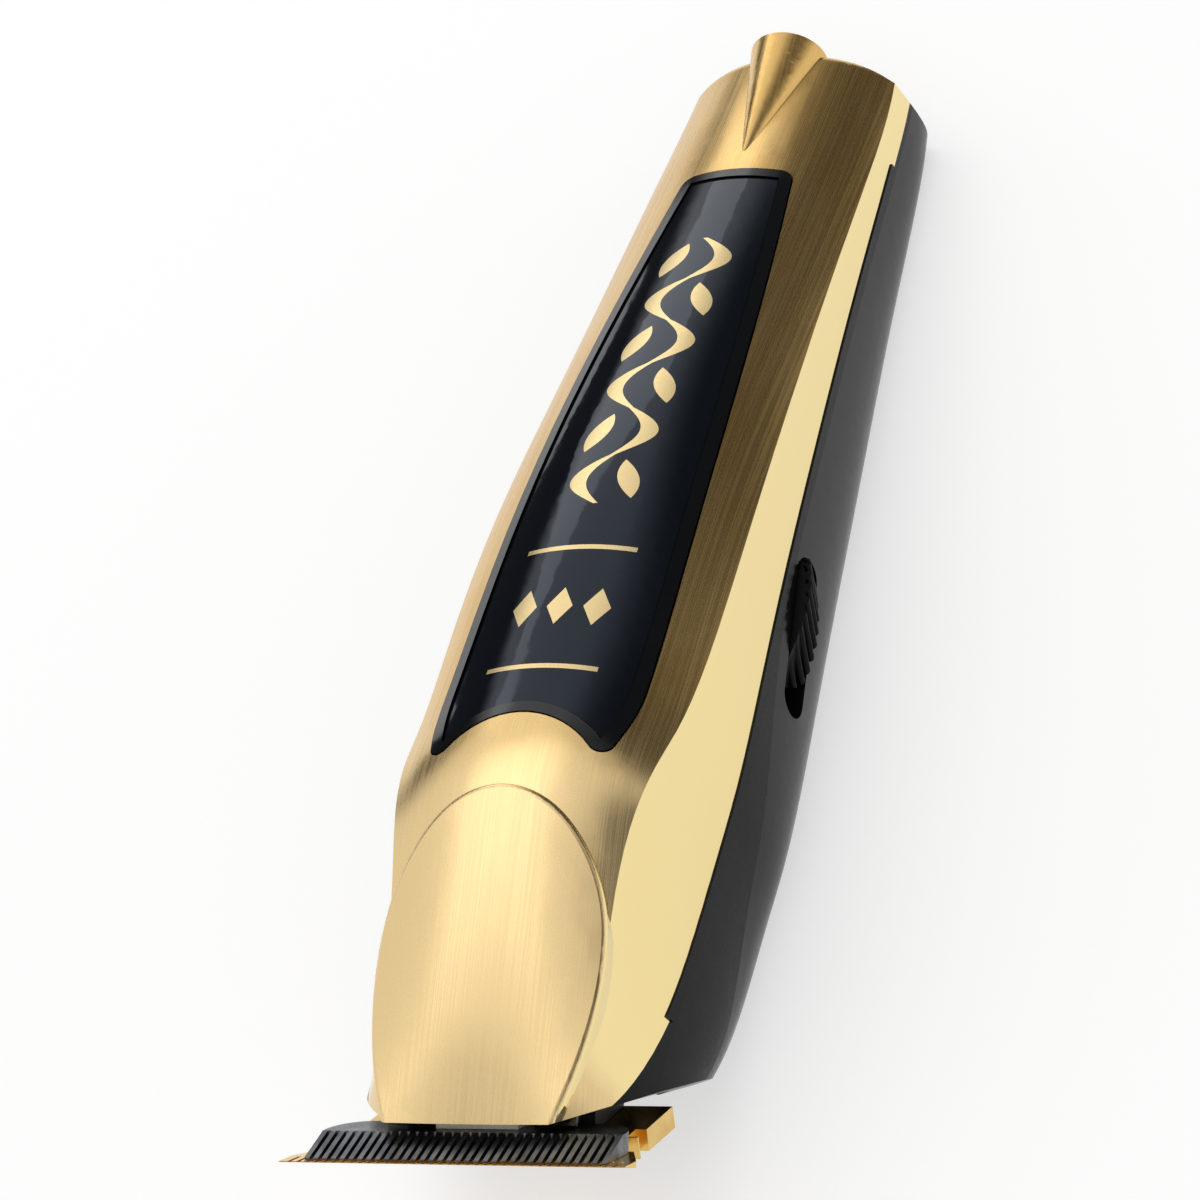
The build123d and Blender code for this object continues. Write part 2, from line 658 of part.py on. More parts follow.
with BuildPart() as eccentric_cam:
    add(ring(46.4, 5.6, 4.4, SHAFT_RADIUS))
    with BuildSketch(Plane.YZ.offset(52)):
        with Locations((0, MOTOR_Z)):
            Circle(4.4)
    extrude(amount=1.2)
    with BuildSketch(Plane.YZ.offset(52)):
        with Locations((0, MOTOR_Z)):
            Circle(SHAFT_RADIUS)
    extrude(amount=0.4, mode=Mode.SUBTRACT)
    # counterweight flat and the pin's seat
    with BuildSketch(Plane.YZ.offset(46)):
        with Locations((0, MOTOR_Z + 2.6)):
            Rectangle(12, 3, align=(Align.CENTER, Align.MIN))
    extrude(amount=4, mode=Mode.SUBTRACT)
    with BuildSketch(Plane.YZ.offset(52.6)):
        with Locations((0, MOTOR_Z + STROKE)):
            Circle(PIN_RADIUS)
    extrude(amount=1, mode=Mode.SUBTRACT)
save(eccentric_cam, "eccentric_cam")

with BuildPart() as drive_pin:
    with BuildSketch(Plane.YZ.offset(52.6)):
        with Locations((0, MOTOR_Z + STROKE)):
            Circle(PIN_RADIUS)
    extrude(amount=5.6)
save(drive_pin, "drive_pin")

with BuildPart() as motor_bracket:
    with BuildSketch(Plane.YZ.offset(CAN_END + 0.02)):
        with Locations((0, MOTOR_Z)):
            Circle(10)
        with Locations((0, 2.7)):
            Rectangle(15, 12, align=(Align.CENTER, Align.MIN))
        with Locations((0, MOTOR_Z)):
            Circle(3.7, mode=Mode.SUBTRACT)
        with Locations((7, MOTOR_Z), (-7, MOTOR_Z)):
            Circle(0.85, mode=Mode.SUBTRACT)
    extrude(amount=1.8)
save(motor_bracket, "motor_bracket")

with BuildPart() as motor_screws:
    for side in (7, -7):
        with BuildSketch(Plane.YZ.offset(CAN_END - 1.4)):
            with Locations((side, MOTOR_Z)):
                Circle(0.8)
        extrude(amount=3.6)
        with BuildSketch(Plane.YZ.offset(CAN_END + 1.84)):
            with Locations((side, MOTOR_Z)):
                Circle(1.6)
        extrude(amount=1)
save(motor_screws, "motor_screws")


# ---------------------------------------------------------------- battery
CELL_START, CELL_LENGTH, CELL_RADIUS, CELL_Z = -60, 48.6, 7.1, 11.0

with BuildPart() as battery_cell:
    with BuildSketch(Plane.YZ.offset(CELL_START)):
        with Locations((0, CELL_Z)):
            Circle(CELL_RADIUS)
    extrude(amount=CELL_LENGTH)
    fillet(battery_cell.edges().filter_by(GeomType.CIRCLE), 0.7)
    with BuildSketch(Plane.YZ.offset(CELL_START + CELL_LENGTH)):
        with Locations((0, CELL_Z)):
            Circle(2.8)
    extrude(amount=0.9)
save(battery_cell, "battery_cell")

with BuildPart() as battery_tabs:
    for x in (CELL_START - 0.35, CELL_START + CELL_LENGTH + 0.95):
        with BuildSketch(Plane.YZ.offset(x)):
            with Locations((0, CELL_Z)):
                RectangleRounded(5, 9, 0.8)
        extrude(amount=0.3)
save(battery_tabs, "battery_tabs")

with BuildPart() as battery_cradle:
    with BuildSketch(Plane.YZ.offset(-56)):
        with Locations((0, 3.7)):
            Rectangle(16.4, 6, align=(Align.CENTER, Align.MIN))
        with Locations((0, CELL_Z)):
            Circle(CELL_RADIUS + 0.1, mode=Mode.SUBTRACT)
    extrude(amount=40)
    for x in (-48, -32):
        with BuildSketch(Plane.YZ.offset(x)):
            with Locations((0, 5.2)):
                Rectangle(20, 6, align=(Align.CENTER, Align.MIN))
        extrude(amount=6, mode=Mode.SUBTRACT)
save(battery_cradle, "battery_cradle")


# ---------------------------------------------------------------- charging socket and contacts
with BuildPart() as charging_socket:
    for radius, length, mode in ((SOCKET_RADIUS, SOCKET_LENGTH, Mode.ADD),
                                 (JACK_RADIUS, SOCKET_LENGTH - 1.5, Mode.SUBTRACT)):
        with BuildSketch(Plane.YZ.offset(TAIL_X + 1.25)):
            with Locations((0, JACK_Z)):
                Circle(radius)
        extrude(amount=length, mode=mode)
    with BuildSketch(Plane.YZ.offset(TAIL_X + SOCKET_LENGTH - 0.5)):
        with Locations((0, JACK_Z)):
            Circle(0.55)
    extrude(amount=4, mode=Mode.SUBTRACT)
save(charging_socket, "charging_socket")

with BuildPart() as socket_pin:
    with BuildSketch(Plane.YZ.offset(TAIL_X + 3.5)):
        with Locations((0, JACK_Z)):
            Circle(0.55)
    extrude(amount=10.2)
save(socket_pin, "socket_pin")

with BuildPart() as charge_contacts:
    for side in (CONTACT_Y, -CONTACT_Y):
        for z, height, radius in ((0.5, 3.2, CONTACT_RADIUS), (2.75, 0.7, 2.4)):
            with BuildSketch(Plane.XY.offset(z)):
                with Locations((CONTACT_X, side)):
                    Circle(radius)
            extrude(amount=height)
save(charge_contacts, "charge_contacts")


# ---------------------------------------------------------------- circuit board
with BuildPart() as circuit_board:
    with BuildSketch(Plane.XY.offset(BOARD_Z)):
        with Locations((-7.5, 0)):
            RectangleRounded(40, 18, 1.5)
        with Locations(*[(x, 0) for x, top in BOARD_POSTS]):
            Circle(0.7, mode=Mode.SUBTRACT)
    extrude(amount=BOARD_THICK)
save(circuit_board, "circuit_board")

with BuildPart() as board_screws:
    for x, top in BOARD_POSTS:
        for z, height, radius in ((BOARD_Z - 0.95, 0.9, 1.4), (BOARD_Z - 0.1, 4.5, 0.6)):
            with BuildSketch(Plane.XY.offset(z)):
                with Locations((x, 0)):
                    Circle(radius)
            extrude(amount=height)
save(board_screws, "board_screws")

with BuildPart() as control_chips:
    with BuildSketch(Plane.XY.offset(BOARD_Z + BOARD_THICK)):
        with Locations((-12, 4)):
            Rectangle(5, 4)
        with Locations((-4, -4)):
            Rectangle(4, 5)
    extrude(amount=1.1)
save(control_chips, "control_chips")

with BuildPart() as board_capacitor:
    with BuildSketch(Plane.XY.offset(BOARD_Z + BOARD_THICK)):
        with Locations((0, 4.6)):
            Circle(2.5)
    extrude(amount=4.2)
save(board_capacitor, "board_capacitor")


# ---------------------------------------------------------------- slide switch
RIB_COUNT, RIB_PITCH, RIB_RADIUS, RIB_SLANT = 9, 1.6, 0.4, 38
ARCH_RISE, ARCH_FOOT = 1.1, -0.6
FLANGE_DEPTH = -4.6
arch_radius = ((THUMB_LENGTH / 2) ** 2 + (ARCH_RISE - ARCH_FOOT) ** 2) / (2 * (ARCH_RISE - ARCH_FOOT))
rib_dir = switch_dir * math.sin(math.radians(RIB_SLANT)) + switch_plane.y_dir * math.cos(math.radians(RIB_SLANT))

with BuildPart() as thumb_slide:
    with BuildSketch(Plane(switch_plane.origin, x_dir=switch_dir, z_dir=-switch_plane.y_dir)):
        with BuildLine():
            ends = [(THUMB_SHIFT - THUMB_LENGTH / 2, ARCH_FOOT), (THUMB_SHIFT + THUMB_LENGTH / 2, ARCH_FOOT)]
            ThreePointArc(ends[0], (THUMB_SHIFT, ARCH_RISE), ends[1])
            Polyline(ends[1], (ends[1][0], FLANGE_DEPTH), (ends[0][0], FLANGE_DEPTH), ends[0])
        make_face()
    extrude(amount=THUMB_WIDTH / 2, both=True)
    for i in range(RIB_COUNT):
        along = (i - (RIB_COUNT - 1) / 2) * RIB_PITCH
        height = ARCH_RISE - arch_radius + math.sqrt(arch_radius ** 2 - along ** 2)
        centre = switch_plane.from_local_coords(Vector(THUMB_SHIFT + along, 0, height))
        with BuildSketch(Plane(centre, z_dir=rib_dir)):
            Circle(RIB_RADIUS)
        extrude(amount=THUMB_WIDTH, both=True)
    # rounded ends, as the slot has
    with BuildSketch(switch_plane.offset(FLANGE_DEPTH)):
        with Locations((THUMB_SHIFT, 0)):
            SlotOverall(THUMB_LENGTH, THUMB_WIDTH)
    extrude(amount=10, mode=Mode.INTERSECT)
    # keeper plate behind the wall
    with BuildSketch(switch_plane.offset(FLANGE_DEPTH)):
        with Locations((THUMB_SHIFT, 0)):
            RectangleRounded(THUMB_LENGTH + 4, THUMB_WIDTH + 2.4, 1)
    extrude(amount=0.9)
save(thumb_slide, "thumb_slide")

with BuildPart() as switch_lever:
    with BuildSketch(switch_plane.offset(FLANGE_DEPTH - 2.4)):
        with Locations((THUMB_SHIFT, 0)):
            Rectangle(2.4, 1.5)
    extrude(amount=2.38)
save(switch_lever, "switch_lever")

with BuildPart() as switch_body:
    with BuildSketch(switch_plane.offset(FLANGE_DEPTH - 4.6)):
        Rectangle(13, 4)
    extrude(amount=3.6)
    with BuildSketch(switch_plane.offset(FLANGE_DEPTH - 2.8)):
        Rectangle(SWITCH_TRAVEL + 4.6, 1.9)
    extrude(amount=4, mode=Mode.SUBTRACT)
save(switch_body, "switch_body")

with BuildPart() as switch_board:
    with BuildSketch(switch_plane.offset(FLANGE_DEPTH - 5.7)):
        Rectangle(16, 8.6)
    extrude(amount=1.05)
save(switch_board, "switch_board")
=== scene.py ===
import bpy, bmesh, math
from mathutils import Vector, Matrix

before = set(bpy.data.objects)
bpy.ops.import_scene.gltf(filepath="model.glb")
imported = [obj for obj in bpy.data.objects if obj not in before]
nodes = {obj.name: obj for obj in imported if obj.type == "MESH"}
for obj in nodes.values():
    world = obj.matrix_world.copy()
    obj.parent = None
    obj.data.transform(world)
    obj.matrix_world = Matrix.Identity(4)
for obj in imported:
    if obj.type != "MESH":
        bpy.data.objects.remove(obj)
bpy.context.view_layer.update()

mm = 0.001
# smooth steps over most of what a noise gives: the close one leaves firmer patches than the wide one
closeStep = {"interpolation_type": "SMOOTHSTEP", "From Min": 0.35, "From Max": 0.65}
wideStep = {"interpolation_type": "SMOOTHSTEP", "From Min": 0.3, "From Max": 0.7}
turnedFully = 0.7  # a normal's share along an axis, above which a face counts as facing that way


def srgb(hexValue, lift=1.0):  # hex as on a monitor, turned to linear light
    channels = [int(hexValue.lstrip("#")[i:i + 2], 16) / 255 for i in (0, 2, 4)]
    return [lift * (c / 12.92 if c <= 0.04045 else ((c + 0.055) / 1.055) ** 2.4) for c in channels] + [1.0]


def addNode(tree, kind, settings, out=0):  # a node, and for each setting a value or the socket that feeds it
    node = tree.nodes.new(kind)
    for key, value in settings.items():
        if isinstance(key, str) and hasattr(node, key):
            setattr(node, key, value)
        elif isinstance(value, bpy.types.NodeSocket):
            tree.links.new(value, node.inputs[key])
        else:
            node.inputs[key].default_value = value
    return node.outputs[out]


def newMaterial(name, patterns=()):  # a material, its coordinates and its noises, spaced in mm on each axis
    mat = bpy.data.materials.new(name)
    mat.use_nodes = True
    tree = mat.node_tree
    coords = tree.nodes.new("ShaderNodeTexCoord")
    noises = []
    for spacing, detail, shift in patterns:
        mapped = addNode(tree, "ShaderNodeMapping", {
            "Vector": coords.outputs["Object"], "Location": [shift] * 3,
            "Scale": [1 / (step * mm) for step in spacing]})
        noises.append(addNode(tree, "ShaderNodeTexNoise", {"Vector": mapped, "Scale": 1.0, "Detail": detail,
                                                           "Roughness": 0.55}, "Fac"))
    return mat, tree, coords, noises


def coat(mat, finish):  # feeds the material's shader, each input by a value or a socket
    tree = mat.node_tree
    shader = tree.nodes["Principled BSDF"]
    for socketName, value in finish.items():
        if isinstance(value, bpy.types.NodeSocket):
            tree.links.new(value, shader.inputs[socketName])
        else:
            shader.inputs[socketName].default_value = value
    return mat


def dress(nodeNames, mat):  # gives CAD nodes their material
    for nodeName in nodeNames:
        mesh = nodes[nodeName].data
        mesh.materials.clear()
        mesh.materials.append(mat)


# Gold shell: vacuum-plated gold over moulded ABS. The top is brushed to a satin, the sides are mirror bright.
# Towards the pad the satin is painted paler, a painted highlight on the one plating.
# Real brush lines lie closer than brushSpacing: they are drawn as coarse as they need to be to show
goldShell = {"satin": "#E2BD7A", "satinDeep": "#DCB46E", "padPaintedHighlight": "#E6CA94", "padFrom": 24.0,
             "padFull": 42.0, "mirror": "#F3DDA0", "satinRoughness": 0.27, "satinRange": (0.86, 1.16),
             "mirrorRoughness": 0.085, "mirrorRange": (0.8, 1.25), "sideTurn": (0.80, 0.88),
             "bossHalfWidth": 9.0, "bossEdge": 0.5, "brushLength": 45.0, "brushSpacing": 0.14,
             "brushRise": 7.5, "brushDepth": 0.0018, "waveDepth": 0.008}


def platedShell(name, s):
    brush = (s["brushLength"], s["brushSpacing"], s["brushRise"])
    mat, tree, coords, (lines, cloud, wave) = newMaterial(name, [
        (brush, 1.0, 0.0), ((18, 9, 9), 2.0, 3.0), ((26, 14, 14), 1.0, 7.0)])
    facing = addNode(tree, "ShaderNodeSeparateXYZ", {"Vector": coords.outputs["Normal"]}, "Y")
    across = addNode(tree, "ShaderNodeSeparateXYZ", {"Vector": coords.outputs["Object"]}, "Y")
    along = addNode(tree, "ShaderNodeSeparateXYZ", {"Vector": coords.outputs["Object"]}, "X")
    # the mirror is on faces turned to the side, except on the half-cone at the tail
    turned = addNode(tree, "ShaderNodeMath", {"operation": "ABSOLUTE", 0: facing})
    apart = addNode(tree, "ShaderNodeMath", {"operation": "ABSOLUTE", 0: across})
    side = addNode(tree, "ShaderNodeMapRange", {
        **wideStep, "Value": turned, "From Min": s["sideTurn"][0], "From Max": s["sideTurn"][1]})
    clear = addNode(tree, "ShaderNodeMapRange", {
        **wideStep, "Value": apart, "From Min": s["bossHalfWidth"] * mm,
        "From Max": (s["bossHalfWidth"] + s["bossEdge"]) * mm})
    polished = addNode(tree, "ShaderNodeMath", {"operation": "MULTIPLY", 0: side, 1: clear})
    # painted highlight: the satin turns paler from padFrom to padFull mm along the length, standing in for
    # the brighter light on the pad
    paintedPadHighlight = addNode(tree, "ShaderNodeMapRange", {
        **wideStep, "Value": along, "From Min": s["padFrom"] * mm, "From Max": s["padFull"] * mm})
    shade = addNode(tree, "ShaderNodeMapRange", {**closeStep, "Value": cloud})
    tone = srgb(s["satin"])
    for share, colour in ((shade, "satinDeep"), (paintedPadHighlight, "padPaintedHighlight"), (polished, "mirror")):
        tone = addNode(tree, "ShaderNodeMix", {"data_type": "RGBA", 0: share, 6: tone, 7: srgb(s[colour])}, 2)
    brushed = addNode(tree, "ShaderNodeMapRange", {
        **wideStep, "Value": lines, "To Min": s["satinRoughness"] * s["satinRange"][0],
        "To Max": s["satinRoughness"] * s["satinRange"][1]})
    smear = addNode(tree, "ShaderNodeMapRange", {
        **closeStep, "Value": cloud, "To Min": s["mirrorRoughness"] * s["mirrorRange"][0],
        "To Max": s["mirrorRoughness"] * s["mirrorRange"][1]})
    rough = addNode(tree, "ShaderNodeMapRange", {"Value": polished, "To Min": brushed, "To Max": smear})
    unpolished = addNode(tree, "ShaderNodeMath", {"operation": "SUBTRACT", 0: 1.0, 1: polished})
    combed = addNode(tree, "ShaderNodeMath", {"operation": "MULTIPLY", 0: lines, 1: unpolished})
    brushBump = addNode(tree, "ShaderNodeBump", {"Height": combed, "Distance": s["brushDepth"] * mm,
                                                 "Strength": 0.8})
    waveBump = addNode(tree, "ShaderNodeBump", {"Height": wave, "Distance": s["waveDepth"] * mm,
                                                "Strength": 0.25, "Normal": brushBump})
    return coat(mat, {"Metallic": 1.0, "Base Color": tone, "Roughness": rough, "Normal": waveBump})


dress(["upper_housing"], platedShell("goldPlatedAbs", goldShell))


# Moulded plastics: the mould's texture in mm, its depth, and a faint change of tone
def mouldedPlastic(name, s):
    mat, tree, coords, (fine, cloud) = newMaterial(name, [((s["texture"],) * 3, 2.0, 0.0),
                                                          ((15, 15, 15), 3.0, 5.0)])
    shade = addNode(tree, "ShaderNodeMapRange", {**wideStep, "Value": cloud})
    tone = addNode(tree, "ShaderNodeMix", {"data_type": "RGBA", 0: shade, 6: srgb(s["colour"]),
                                           7: srgb(s["deep"])}, 2)
    # the gloss follows the fine texture more than the cloud
    fineShare = addNode(tree, "ShaderNodeMath", {"operation": "MULTIPLY", 0: fine, 1: 0.6})
    cloudShare = addNode(tree, "ShaderNodeMath", {"operation": "MULTIPLY", 0: cloud, 1: 0.4})
    mixed = addNode(tree, "ShaderNodeMath", {"operation": "ADD", 0: fineShare, 1: cloudShare})
    rough = addNode(tree, "ShaderNodeMapRange", {
        **closeStep, "Value": mixed, "To Min": s["roughness"] * 0.85, "To Max": s["roughness"] * 1.2})
    bump = addNode(tree, "ShaderNodeBump", {"Height": fine, "Distance": s["depth"] * mm,
                                            "Strength": s.get("strength", 0.6)})
    return coat(mat, {"Base Color": tone, "Roughness": rough, "Normal": bump, "IOR": s.get("ior", 1.53),
                      "Specular IOR Level": s.get("shine", 0.5)})


# Worked metals: tool lines run along one axis, with stains and a little wear in the gloss. Ground and drawn
# lines are drawn coarser than real ones, as far as they need to be to show
def workedMetal(name, s):
    stain = (s.get("cloud", 6),) * 3
    mat, tree, coords, (lines, cloud) = newMaterial(name, [(s["lines"], 3.0, 0.0), (stain, 3.0, 5.0)])
    shade = addNode(tree, "ShaderNodeMapRange", {
        **wideStep, "Value": cloud, "From Min": 0.32, "From Max": 0.68})
    tone = addNode(tree, "ShaderNodeMix", {"data_type": "RGBA", 0: shade, 6: srgb(s["colour"]),
                                           7: srgb(s["deep"])}, 2)
    rough = addNode(tree, "ShaderNodeMapRange", {
        **wideStep, "Value": lines, "To Min": s["roughness"] * 0.75, "To Max": s["roughness"] * 1.3})
    bump = addNode(tree, "ShaderNodeBump", {"Height": lines, "Distance": s["depth"] * mm, "Strength": 0.7})
    return coat(mat, {"Metallic": 1.0, "Base Color": tone, "Roughness": rough, "Normal": bump})


plastics = {
    # semi-gloss moulded ABS: a soft broad sheen with a hint of orange peel
    "bottom_cover": {"name": "blackMouldedAbs", "colour": "#0B0C0E", "deep": "#0E0F12", "roughness": 0.2,
                     "texture": 0.9, "depth": 0.006, "strength": 0.3, "shine": 0.2},
    # satin ABS trim: a little greyer and flatter than the cover, so the raised strip reads
    "mid_frame": {"name": "blackSatinAbs", "colour": "#08090A", "deep": "#0C0D0F", "roughness": 0.3,
                  "texture": 0.5, "depth": 0.01, "shine": 0.16},
    # gloss frame of the inlay: lacquered ABS with sharp reflections
    "inlay_frame": {"name": "blackLacqueredAbs", "colour": "#06070A", "deep": "#08090C", "roughness": 0.12,
                    "texture": 1.6, "depth": 0.004, "strength": 0.3},
    # soft-touch thumb slide: dead matt with a fine spark texture
    "thumb_slide": {"name": "blackSoftTouchRubber", "colour": "#060607", "deep": "#0A0A0B", "roughness": 0.5,
                    "texture": 0.22, "depth": 0.02, "ior": 1.5, "shine": 0.12},
    # glass-filled nylon of the nose insert: matt and slightly dusty
    "nose_insert": {"name": "blackGlassNylon", "colour": "#101112", "deep": "#17181A", "roughness": 0.48,
                    "texture": 0.3, "depth": 0.02},
    # unfilled acetal of the yoke: milky white with a soft gloss
    "drive_yoke": {"name": "whiteAcetal", "colour": "#E6E3DA", "deep": "#DAD6CA", "roughness": 0.32,
                   "texture": 0.8, "depth": 0.008, "ior": 1.48},
    # natural nylon end cap of the motor: creamy, slightly waxy
    "motor_end_cap": {"name": "naturalNylon", "colour": "#D9D2C0", "deep": "#CBC3AE", "roughness": 0.38,
                      "texture": 0.6, "depth": 0.01},
    "battery_cradle": {"name": "blackNylonCradle", "colour": "#1B1C1E", "deep": "#141517", "roughness": 0.44,
                       "texture": 0.45, "depth": 0.015},  # waxy black moulding with a dull sheen
    "switch_lever": {"name": "ivoryAcetal", "colour": "#E9E4D2", "deep": "#DED8C2", "roughness": 0.33,
                     "texture": 0.5, "depth": 0.008},  # small ivory slider with a soft gloss
    "charging_socket": {"name": "blackNylonSocket", "colour": "#121314", "deep": "#1A1B1D", "roughness": 0.36,
                        "texture": 0.4, "depth": 0.012},  # socket body, duller than the cover
    "motor_magnets": {"name": "sinteredFerrite", "colour": "#3B3B3D", "deep": "#2A2A2C", "roughness": 0.6,
                      "texture": 0.35, "depth": 0.03, "ior": 2.2},  # charcoal ceramic with a granular skin
    "control_chips": {"name": "mouldedEpoxy", "colour": "#1A1A1C", "deep": "#242426", "roughness": 0.52,
                      "texture": 0.12, "depth": 0.012},  # chip packages, grey-black and gritty
}
for nodeName, s in plastics.items():
    dress([nodeName], mouldedPlastic(s["name"], s))

metals = {
    # titanium-nitride on ground steel: warm gold with cross-grinding that catches light on the tooth flats
    ("fixed_blade",): {"name": "goldTitaniumNitride", "colour": "#EBC877", "deep": "#D9B05C",
                       "roughness": 0.2, "lines": (0.12, 9, 0.12), "depth": 0.006, "cloud": 5},
    # black-oxide cutter: dark graphite with paler ground ridges
    ("cutter_blade",): {"name": "blackOxideSteel", "colour": "#75787B", "deep": "#505356", "roughness": 0.34,
                        "lines": (0.14, 0.14, 5), "depth": 0.01, "cloud": 3},
    ("cutter_rivets", "blade_screws"): {
        "name": "goldPassivatedSteel", "colour": "#D8BC7E", "deep": "#B99853", "roughness": 0.3,
        "lines": (0.2, 0.2, 1.5), "depth": 0.01},  # yellow zinc, a duller gold than the comb
    ("housing_screws",): {"name": "blackZincSteel", "colour": "#4A4B4D", "deep": "#303133", "roughness": 0.36,
                          "lines": (0.25, 0.25, 3), "depth": 0.012},  # dark screws with worn bright crowns
    ("motor_screws", "board_screws", "spring_screws"): {
        "name": "nickelPlatedSteel", "colour": "#C9C6BF", "deep": "#A9A59C", "roughness": 0.24,
        "lines": (0.2, 0.2, 2), "depth": 0.008},  # small bright screws
    ("tension_spring",): {"name": "blueTemperedSteel", "colour": "#8A93A3", "deep": "#6B7280",
                          "roughness": 0.26, "lines": (3, 0.15, 0.15), "depth": 0.008},  # grey-blue strip
    ("motor_can",): {"name": "zincPlatedSteel", "colour": "#BFC1C2", "deep": "#9FA2A5", "roughness": 0.3,
                     "lines": (0.3, 6, 6), "depth": 0.01},  # drawn can with faint rings
    # tinned brass: pale straw yellow with stamping lines
    ("motor_terminals", "charge_contacts"): {"name": "tinnedBrass", "colour": "#D4C08B", "deep": "#B79E60",
                                             "roughness": 0.28, "lines": (1.5, 0.2, 0.2), "depth": 0.008},
    # rolled nickel strip: warm pale grey with long fine lines
    ("socket_pin", "battery_tabs"): {"name": "nickelStrip", "colour": "#CFCBC2", "deep": "#B4AFA4",
                                     "roughness": 0.27, "lines": (4, 0.25, 0.25), "depth": 0.006},
    ("motor_bushings",): {"name": "sinteredBronze", "colour": "#A8743C", "deep": "#7E5428", "roughness": 0.5,
                          "lines": (0.2, 0.2, 0.2), "depth": 0.02},  # porous oily bronze
    ("motor_shaft", "drive_pin"): {"name": "groundToolSteel", "colour": "#D5D6D8", "deep": "#BDBFC2",
                                   "roughness": 0.14, "lines": (0.1, 4, 4), "depth": 0.004},  # bright rings
    ("switch_body",): {"name": "tinPlatedSteel", "colour": "#B9B9B6", "deep": "#979792", "roughness": 0.34,
                       "lines": (3, 0.3, 0.3), "depth": 0.008, "cloud": 3},  # folded shell, slightly dull
    ("eccentric_cam",): {"name": "turnedBrass", "colour": "#D9B662", "deep": "#C19A45", "roughness": 0.22,
                         "lines": (0.15, 4, 4), "depth": 0.008},  # turned rings
    ("motor_bracket",): {"name": "stampedSteel", "colour": "#AEB1B4", "deep": "#8E9195", "roughness": 0.35,
                         "lines": (0.3, 5, 0.3), "depth": 0.01},  # rolled strip, stamped
}
for nodeNames, s in metals.items():
    dress(nodeNames, workedMetal(s["name"], s))
print("moulded and metal finishes done")


# Inlay: deep black lacquer that mirrors the studio, with a hot-stamped gold foil vine in place of lettering
inlayFoil = {"lacquer": "#0B0F15", "reflection": "#C4D6EE", "foil": "#E8CF98", "gloss": 0.045,
             "foilRoughness": 0.3, "speckle": 0.35, "vineStart": -44.0, "vineEnd": 1.0, "vinePitch": 15.0,
             "vineSwing": 3.1, "thin": 0.28, "thick": 0.75, "leafLength": 2.9, "leafWidth": 1.25,
             "leafSide": 2.808, "leafSlant": 0.35, "barPlaces": (7.5, 24.5), "barHalfLength": 6.4,
             "barHalfWidth": 0.32, "lozengePlace": 16.0, "lozengePitch": 4.2, "lozengeCount": 3,
             "lozengeLong": 2.6, "lozengeWide": 1.5}


